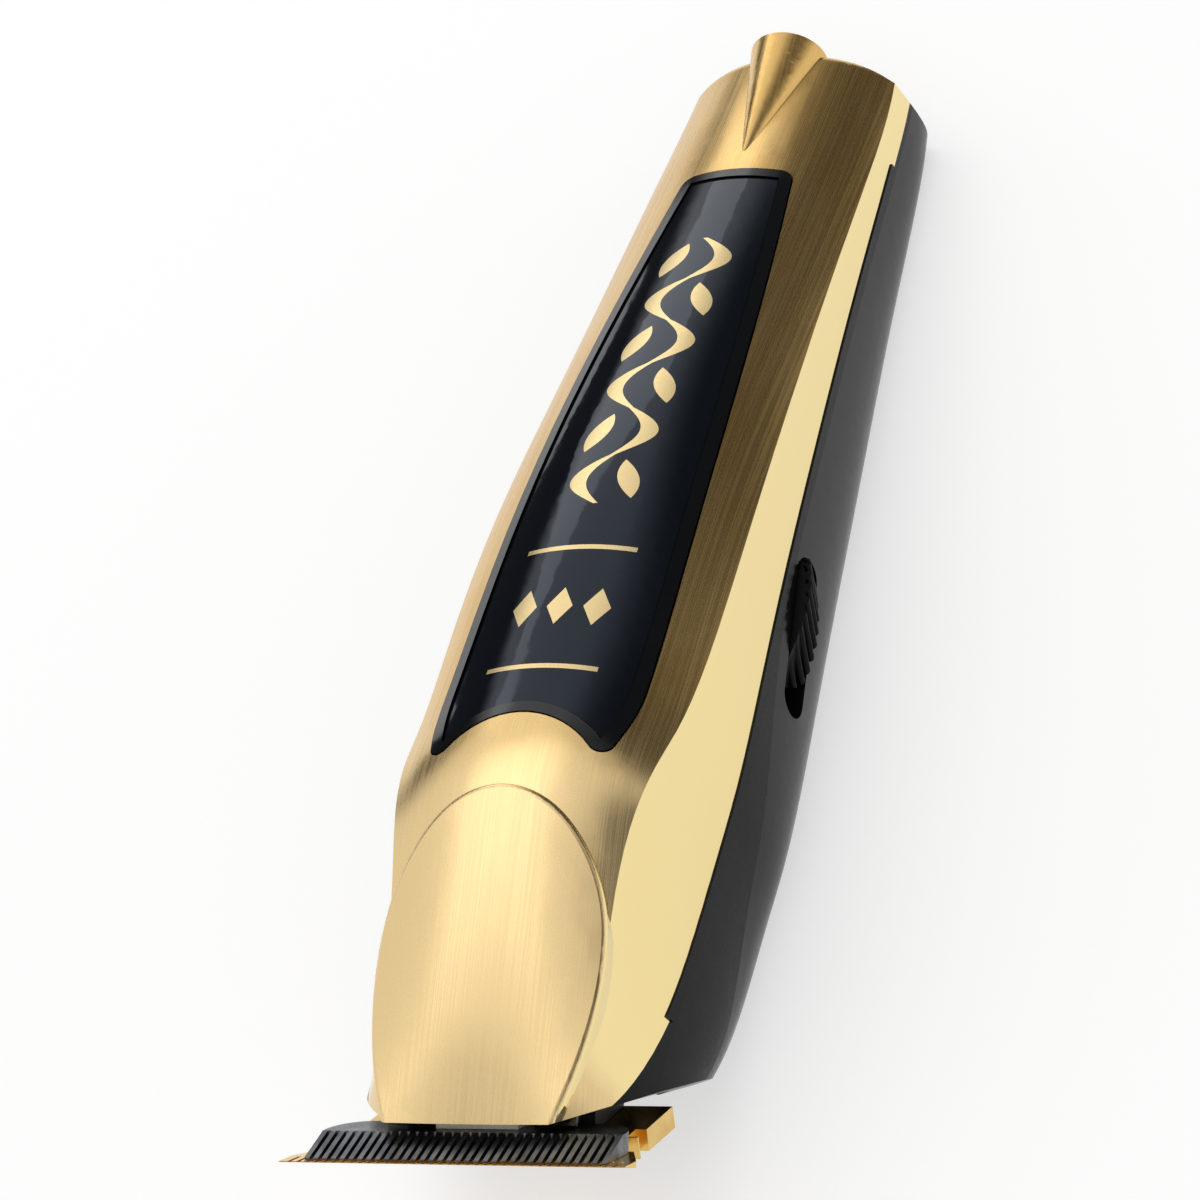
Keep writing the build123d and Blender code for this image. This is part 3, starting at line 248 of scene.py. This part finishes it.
def foilPanel(name, s):
    mat, tree, coords, (speckle, cloud, wave) = newMaterial(name, [
        ((s["speckle"],) * 3, 2.0, 0.0), ((9, 5, 5), 3.0, 2.0), ((11, 7, 7), 1.0, 4.0)])
    inMm = addNode(tree, "ShaderNodeMapping", {"Vector": coords.outputs["Object"], "Scale": [1 / mm] * 3})
    halfPitch = s["vinePitch"] / 2
    # each step names its result, the sum, and what it is made from; a stem that swings and tapers comes first
    steps = [("run", "SUBTRACT", "x", s["vineStart"]), ("phase", "MULTIPLY", "run", math.pi / halfPitch),
             ("begun", "GREATER_THAN", "x", s["vineStart"]), ("going", "LESS_THAN", "x", s["vineEnd"]),
             ("inside", "MULTIPLY", "begun", "going"), ("sway", "SINE", "phase"),
             ("course", "MULTIPLY", "sway", s["vineSwing"]), ("offset", "SUBTRACT", "y", "course"),
             ("offStem", "ABSOLUTE", "offset"), ("bulge", "ABSOLUTE", "sway"),
             ("width", "MULTIPLY_ADD", "bulge", s["thick"], s["thin"]),
             ("onStem", "LESS_THAN", "offStem", "width"), ("foil", "MULTIPLY", "inside", "onStem")]
    # a leaf in each bay of the stem, on the side it swings away from
    steps += [("bayStart", "MODULO", "run", halfPitch), ("bay", "SUBTRACT", "bayStart", halfPitch / 2),
              ("swing", "SIGN", "sway"), ("across", "MULTIPLY_ADD", "swing", s["leafSide"], "y"),
              ("lean", "MULTIPLY", "bay", "swing"),
              ("tilted", "MULTIPLY_ADD", "lean", s["leafSlant"], "across"), ("slant", "ABSOLUTE", "tilted"),
              ("along", "DIVIDE", "bay", s["leafLength"]), ("square", "MULTIPLY", "along", "along"),
              ("taper", "SUBTRACT", 1.0, "square"), ("blade", "MULTIPLY", "taper", s["leafWidth"]),
              ("onBlade", "LESS_THAN", "slant", "blade"), ("leaf", "MULTIPLY", "inside", "onBlade"),
              ("foil", "MAXIMUM", "foil", "leaf")]
    # two fine bars across, with a row of lozenges between them
    for bar in s["barPlaces"]:
        steps += [("fromBar", "SUBTRACT", "x", bar), ("offBar", "ABSOLUTE", "fromBar"),
                  ("near", "LESS_THAN", "offBar", s["barHalfWidth"]), ("offAxis", "ABSOLUTE", "y"),
                  ("short", "LESS_THAN", "offAxis", s["barHalfLength"]),
                  ("onBar", "MULTIPLY", "near", "short"), ("foil", "MAXIMUM", "foil", "onBar")]
    for number in range(s["lozengeCount"]):
        middle = (number - (s["lozengeCount"] - 1) / 2) * s["lozengePitch"]
        steps += [("fromRow", "SUBTRACT", "x", s["lozengePlace"]), ("offRow", "ABSOLUTE", "fromRow"),
                  ("longShare", "DIVIDE", "offRow", s["lozengeLong"]),
                  ("fromMiddle", "SUBTRACT", "y", middle), ("offMiddle", "ABSOLUTE", "fromMiddle"),
                  ("wideShare", "DIVIDE", "offMiddle", s["lozengeWide"]),
                  ("reach", "ADD", "longShare", "wideShare"), ("onLozenge", "LESS_THAN", "reach", 1.0),
                  ("foil", "MAXIMUM", "foil", "onLozenge")]
    made = {axis: addNode(tree, "ShaderNodeSeparateXYZ", {"Vector": inMm}, axis.upper()) for axis in "xy"}
    for result, operation, *values in steps:
        feeds = {place: made.get(value, value) for place, value in enumerate(values)}
        made[result] = addNode(tree, "ShaderNodeMath", {"operation": operation, **feeds})
    foil = made["foil"]
    tone = addNode(tree, "ShaderNodeMix", {"data_type": "RGBA", 0: foil, 6: srgb(s["lacquer"]),
                                           7: srgb(s["foil"])}, 2)
    smear = addNode(tree, "ShaderNodeMapRange", {
        **closeStep, "Value": cloud, "To Min": s["gloss"], "To Max": s["gloss"] * 1.8})
    dull = addNode(tree, "ShaderNodeMapRange", {
        **wideStep, "Value": speckle, "To Min": s["foilRoughness"] * 0.9, "To Max": s["foilRoughness"] * 1.1})
    rough = addNode(tree, "ShaderNodeMapRange", {"Value": foil, "To Min": smear, "To Max": dull})
    bump = addNode(tree, "ShaderNodeBump", {"Height": wave, "Distance": 0.01 * mm, "Strength": 0.3})
    return coat(mat, {"Base Color": tone, "Metallic": foil, "Roughness": rough, "Normal": bump,
                      "Specular Tint": srgb(s["reflection"])})


dress(["inlay_panel"], foilPanel("blackLacquerGoldFoil", inlayFoil))

# Circuit board: green solder mask over glass-epoxy, copper tracks showing darker under it and tinned pads
boardFinish = {"mask": "#14532F", "track": "#0E4426", "pad": "#C9C3AE", "edge": "#A79B62", "trackPitch": 2.2,
               "padPitch": 4.4, "padRadius": 0.75, "weave": 0.6, "roughness": (0.2, 0.36), "relief": 0.03}


def laminate(name, s):
    mat, tree, coords, (weave,) = newMaterial(name, [((s["weave"],) * 3, 3.0, 0.0)])
    rows = 4  # track rows in one unit of the brick pattern
    line = addNode(tree, "ShaderNodeTexBrick", {
        "Vector": coords.outputs["Object"], "Scale": 1 / (s["trackPitch"] * rows * mm), "Mortar Size": 0.02,
        "Brick Width": 0.7, "Row Height": 1 / rows}, "Fac")
    dots = addNode(tree, "ShaderNodeTexVoronoi", {
        "Vector": coords.outputs["Object"], "Scale": 1 / (s["padPitch"] * mm),
        "Randomness": 0.25}, "Distance")
    turned = []
    for axis in "ZY":
        share = addNode(tree, "ShaderNodeSeparateXYZ", {"Vector": coords.outputs["Normal"]}, axis)
        turned.append(addNode(tree, "ShaderNodeMath", {"operation": "ABSOLUTE", 0: share}))
    broad = addNode(tree, "ShaderNodeMath", {"operation": "MAXIMUM", 0: turned[0], 1: turned[1]})
    flat = addNode(tree, "ShaderNodeMath", {"operation": "GREATER_THAN", 0: broad, 1: turnedFully})
    dot = addNode(tree, "ShaderNodeMath", {"operation": "LESS_THAN", 0: dots,
                                           1: s["padRadius"] / s["padPitch"]})
    pad = addNode(tree, "ShaderNodeMath", {"operation": "MULTIPLY", 0: dot, 1: flat})
    tone = srgb(s["mask"])
    tone = addNode(tree, "ShaderNodeMix", {"data_type": "RGBA", 0: line, 6: tone, 7: srgb(s["track"])}, 2)
    tone = addNode(tree, "ShaderNodeMix", {"data_type": "RGBA", 0: flat, 6: srgb(s["edge"]), 7: tone}, 2)
    tone = addNode(tree, "ShaderNodeMix", {"data_type": "RGBA", 0: pad, 6: tone, 7: srgb(s["pad"])}, 2)
    rough = addNode(tree, "ShaderNodeMapRange", {
        **wideStep, "Value": weave, "To Min": s["roughness"][0], "To Max": s["roughness"][1]})
    raised = addNode(tree, "ShaderNodeMath", {"operation": "ADD", 0: line, 1: pad})
    bump = addNode(tree, "ShaderNodeBump", {"Height": raised, "Distance": s["relief"] * mm, "Strength": 0.6})
    return coat(mat, {"Base Color": tone, "Metallic": pad, "Roughness": rough, "Normal": bump})


dress(["circuit_board", "switch_board"], laminate("greenGlassEpoxy", boardFinish))

# Battery: heat-shrunk blue PVC sleeve with a pale band, tight over the can; nickel shows on the end faces
batteryFinish = {"sleeve": "#1F4FA3", "deepLift": 0.7, "band": "#D9DDE2", "end": "#C4C1B8", "bandFrom": -46.0,
                 "bandTo": -42.0, "wrinkle": (2.2, 6, 6), "roughness": (0.22, 0.34), "relief": 0.06}


def shrinkSleeve(name, s):
    mat, tree, coords, (cloud,) = newMaterial(name, [(s["wrinkle"], 3.0, 0.0)])
    along = addNode(tree, "ShaderNodeSeparateXYZ", {"Vector": coords.outputs["Object"]}, "X")
    facing = addNode(tree, "ShaderNodeSeparateXYZ", {"Vector": coords.outputs["Normal"]}, "X")
    turned = addNode(tree, "ShaderNodeMath", {"operation": "ABSOLUTE", 0: facing})
    end = addNode(tree, "ShaderNodeMath", {"operation": "GREATER_THAN", 0: turned, 1: turnedFully})
    begun = addNode(tree, "ShaderNodeMath", {"operation": "GREATER_THAN", 0: along, 1: s["bandFrom"] * mm})
    going = addNode(tree, "ShaderNodeMath", {"operation": "LESS_THAN", 0: along, 1: s["bandTo"] * mm})
    band = addNode(tree, "ShaderNodeMath", {"operation": "MULTIPLY", 0: begun, 1: going})
    shade = addNode(tree, "ShaderNodeMapRange", {**wideStep, "Value": cloud, "To Max": 0.5})
    tone = srgb(s["sleeve"])
    for share, colour in ((shade, srgb(s["sleeve"], s["deepLift"])), (band, srgb(s["band"])),
                          (end, srgb(s["end"]))):
        tone = addNode(tree, "ShaderNodeMix", {"data_type": "RGBA", 0: share, 6: tone, 7: colour}, 2)
    rough = addNode(tree, "ShaderNodeMapRange", {
        **wideStep, "Value": cloud, "To Min": s["roughness"][0], "To Max": s["roughness"][1]})
    bump = addNode(tree, "ShaderNodeBump", {"Height": cloud, "Distance": s["relief"] * mm, "Strength": 0.5})
    return coat(mat, {"Base Color": tone, "Metallic": end, "Roughness": rough, "Normal": bump})


dress(["battery_cell"], shrinkSleeve("blueShrinkPvc", batteryFinish))

# Capacitor: black sleeve with a pale polarity stripe and a bare aluminium top
capFinish = {"sleeve": "#14161C", "stripe": "#C8CCD2", "top": "#C9CBCD", "stripeTurn": 0.82, "texture": 0.4,
             "roughness": (0.24, 0.4), "relief": 0.01}


def capSleeve(name, s):
    mat, tree, coords, (fine,) = newMaterial(name, [((s["texture"],) * 3, 3.0, 0.0)])
    upward = addNode(tree, "ShaderNodeSeparateXYZ", {"Vector": coords.outputs["Normal"]}, "Z")
    sideways = addNode(tree, "ShaderNodeSeparateXYZ", {"Vector": coords.outputs["Normal"]}, "Y")
    turned = addNode(tree, "ShaderNodeMath", {"operation": "ABSOLUTE", 0: upward})
    top = addNode(tree, "ShaderNodeMath", {"operation": "GREATER_THAN", 0: turned, 1: turnedFully})
    stripe = addNode(tree, "ShaderNodeMath", {"operation": "GREATER_THAN", 0: sideways, 1: s["stripeTurn"]})
    tone = srgb(s["sleeve"])
    for share, colour in ((stripe, "stripe"), (top, "top")):
        tone = addNode(tree, "ShaderNodeMix", {"data_type": "RGBA", 0: share, 6: tone, 7: srgb(s[colour])}, 2)
    rough = addNode(tree, "ShaderNodeMapRange", {
        **wideStep, "Value": fine, "To Min": s["roughness"][0], "To Max": s["roughness"][1]})
    bump = addNode(tree, "ShaderNodeBump", {"Height": fine, "Distance": s["relief"] * mm, "Strength": 0.5})
    return coat(mat, {"Base Color": tone, "Metallic": top, "Roughness": rough, "Normal": bump})


dress(["board_capacitor"], capSleeve("sleevedAluminium", capFinish))

# Armature: stacked silicon-steel laminations, dark with fine edges, under enamelled copper windings
armatureFinish = {"steel": "#6F7276", "scale": "#4D5054", "copper": "#B8602C", "copperDeep": "#8E4319",
                  "sheet": 0.5, "wire": 0.35, "ironRadius": 6.2, "axisHeight": 20.0, "relief": 0.05,
                  "roughness": (0.3, 0.45)}


def windings(name, s):
    mat, tree, coords = newMaterial(name)[:3]
    centred = addNode(tree, "ShaderNodeMapping", {"Vector": coords.outputs["Object"],
                                                  "Location": (0, 0, -s["axisHeight"] * mm)})
    squares = []
    for axis in "YZ":
        reach = addNode(tree, "ShaderNodeSeparateXYZ", {"Vector": centred}, axis)
        squares.append(addNode(tree, "ShaderNodeMath", {"operation": "MULTIPLY", 0: reach, 1: reach}))
    squared = addNode(tree, "ShaderNodeMath", {"operation": "ADD", 0: squares[0], 1: squares[1]})
    iron = addNode(tree, "ShaderNodeMath", {"operation": "GREATER_THAN", 0: squared,
                                            1: (s["ironRadius"] * mm) ** 2})
    wavesInUnit = 3.2  # waves the texture draws in one unit at a scale of 1
    sheets = addNode(tree, "ShaderNodeTexWave", {
        "Vector": coords.outputs["Object"], "Scale": 1 / (s["sheet"] * mm) / wavesInUnit, "Distortion": 0.0,
        "bands_direction": "X"}, "Fac")
    wires = addNode(tree, "ShaderNodeTexWave", {
        "Vector": coords.outputs["Object"], "Scale": 1 / (s["wire"] * mm) / wavesInUnit, "Distortion": 0.6,
        "bands_direction": "DIAGONAL"}, "Fac")
    steel = addNode(tree, "ShaderNodeMix", {"data_type": "RGBA", 0: sheets, 6: srgb(s["scale"]),
                                            7: srgb(s["steel"])}, 2)
    copper = addNode(tree, "ShaderNodeMix", {"data_type": "RGBA", 0: wires, 6: srgb(s["copperDeep"]),
                                             7: srgb(s["copper"])}, 2)
    tone = addNode(tree, "ShaderNodeMix", {"data_type": "RGBA", 0: iron, 6: copper, 7: steel}, 2)
    rough = addNode(tree, "ShaderNodeMapRange", {
        **wideStep, "Value": wires, "From Min": 0.2, "From Max": 0.8, "To Min": s["roughness"][0],
        "To Max": s["roughness"][1]})
    height = addNode(tree, "ShaderNodeMapRange", {"Value": iron, "To Min": wires, "To Max": sheets})
    bump = addNode(tree, "ShaderNodeBump", {"Height": height, "Distance": s["relief"] * mm, "Strength": 0.7})
    return coat(mat, {"Metallic": 1.0, "Base Color": tone, "Roughness": rough, "Normal": bump})


dress(["motor_armature"], windings("laminatedIronAndCopper", armatureFinish))

undressed = [name for name in nodes if not nodes[name].data.materials or not nodes[name].data.materials[0]]
print("special finishes done, still bare:", undressed)


# Stage: a pale floor without an edge in view, and a white studio with four shading flags and two soft boxes.
# A flag is its direction, the share towards it where its shade starts and is full, and the light left there
stageSettings = {"floorSize": 8.0, "floorColour": "#FFFFFF", "floorLift": 0.5, "floorGlow": 0.58,
                 "floorDrop": 0.1, "skyStrength": 0.95,
                 "flags": [((-0.86, 0.40, 0.32), 0.78, 0.94, 0.08), ((-0.62, -0.78, 0.05), 0.93, 0.97, 0.04),
                           ((0.0, 0.66, 0.75), 0.88, 0.97, 0.12), ((0.55, -0.35, 0.76), 0.80, 0.96, 0.5)]}
bm = bmesh.new()
bmesh.ops.create_grid(bm, x_segments=1, y_segments=1, size=stageSettings["floorSize"] / 2)
bmesh.ops.translate(bm, verts=bm.verts, vec=(0, 0, -stageSettings["floorDrop"] * mm))
floorMesh = bpy.data.meshes.new("floor")
bm.to_mesh(floorMesh)
bm.free()
floor = bpy.data.objects.new("floor", floorMesh)
bpy.context.scene.collection.objects.link(floor)
floorMat = newMaterial("paleFloor")[0]  # matt board, lit from below like a light table
coat(floorMat, {"Base Color": srgb(stageSettings["floorColour"], stageSettings["floorLift"]),
                "Roughness": 1.0, "Specular IOR Level": 0.0,
                "Emission Color": srgb(stageSettings["floorColour"]),
                "Emission Strength": stageSettings["floorGlow"]})
floorMesh.materials.append(floorMat)

world = bpy.data.worlds.new("studio")
bpy.context.scene.world = world
world.use_nodes = True
tree = world.node_tree
towards = addNode(tree, "ShaderNodeTexCoord", {}, "Generated")
strength = stageSettings["skyStrength"]
for axis, start, full, dark in stageSettings["flags"]:
    lined = addNode(tree, "ShaderNodeVectorMath", {"operation": "DOT_PRODUCT", 0: towards,
                                                   1: Vector(axis).normalized()}, "Value")
    left = addNode(tree, "ShaderNodeMapRange", {
        **wideStep, "Value": lined, "From Min": start, "From Max": full, "To Min": 1.0, "To Max": dark})
    strength = addNode(tree, "ShaderNodeMath", {"operation": "MULTIPLY", 0: left, 1: strength})
background = tree.nodes["Background"]
background.inputs["Color"].default_value = (1, 1, 1, 1)
tree.links.new(strength, background.inputs["Strength"])


def softbox(name, place, target, size, power):
    light = bpy.data.lights.new(name, "AREA")
    light.shape = "RECTANGLE"
    light.size, light.size_y = size
    light.energy = power
    obj = bpy.data.objects.new(name, light)
    obj.location = place
    obj.rotation_euler = (Vector(target) - Vector(place)).to_track_quat("-Z", "Y").to_euler()
    bpy.context.scene.collection.objects.link(obj)


softboxes = {"topBox": ((-0.22, -0.42, 0.95), (-0.22, -0.42, 0.0), (0.8, 0.8), 1.65),
             "tailBox": ((-1.0, -0.55, 0.5), (0, 0, 0.02), (0.55, 0.4), 0.6)}
for name, (place, target, size, power) in softboxes.items():
    softbox(name, place, target, size, power)

cameraSettings = {"lens": 150.0, "sensor": 36.0, "nearest": 0.01, "place": (0.31035, 0.21537, 0.42056),
                  "right": (-0.21583, 0.917, -0.33545), "up": (-0.80231, 0.02926, 0.59619),
                  "back": (0.55652, 0.39781, 0.72941)}
camData = bpy.data.cameras.new("camera")
camData.lens = cameraSettings["lens"]
camData.sensor_width = cameraSettings["sensor"]
camData.clip_start = cameraSettings["nearest"]
cam = bpy.data.objects.new("camera", camData)
turn = Matrix((cameraSettings["right"], cameraSettings["up"], cameraSettings["back"])).transposed()
cam.matrix_world = Matrix.Translation(cameraSettings["place"]) @ turn.to_4x4()
bpy.context.scene.collection.objects.link(cam)
bpy.context.scene.camera = cam
bpy.context.scene.view_settings.view_transform = "Standard"
print("stage done")
